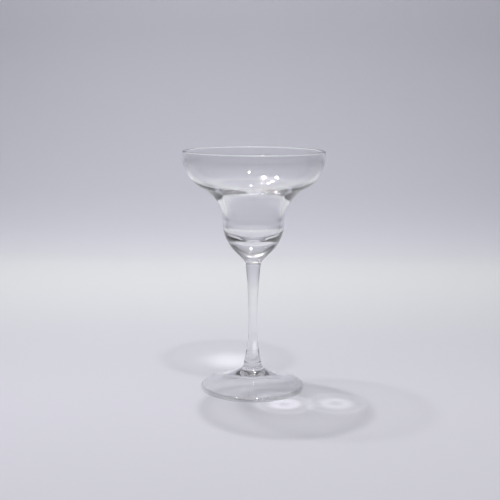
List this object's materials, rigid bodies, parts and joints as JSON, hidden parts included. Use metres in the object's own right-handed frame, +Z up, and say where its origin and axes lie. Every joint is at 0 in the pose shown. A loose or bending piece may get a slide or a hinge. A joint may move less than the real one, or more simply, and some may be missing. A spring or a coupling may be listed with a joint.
{
  "type": "margarita glass",
  "caption": "Clear stemmed margarita glass with a wide shallow coupe stepping into a small round cup, a slim waisted stem and a domed round foot.",
  "frame": {"origin": "on the axis of the glass, in the plane that the foot rests on", "axes": "+Z up along the axis of revolution, from the foot to the rim; X and Y are equal by symmetry"},
  "size_m": [0.1008, 0.1008, 0.172],
  "materials": {
    "bowl_glass": "clear fire-polished soda-lime glass",
    "stem_glass": "clear drawn soda-lime glass",
    "foot_glass": "clear pressed soda-lime glass, lightly scuffed resting ring"
  },
  "bodies": {
    "root": {"bowl": "bowl_glass", "stem": "stem_glass", "foot": "foot_glass"}
  },
  "joints": []
}
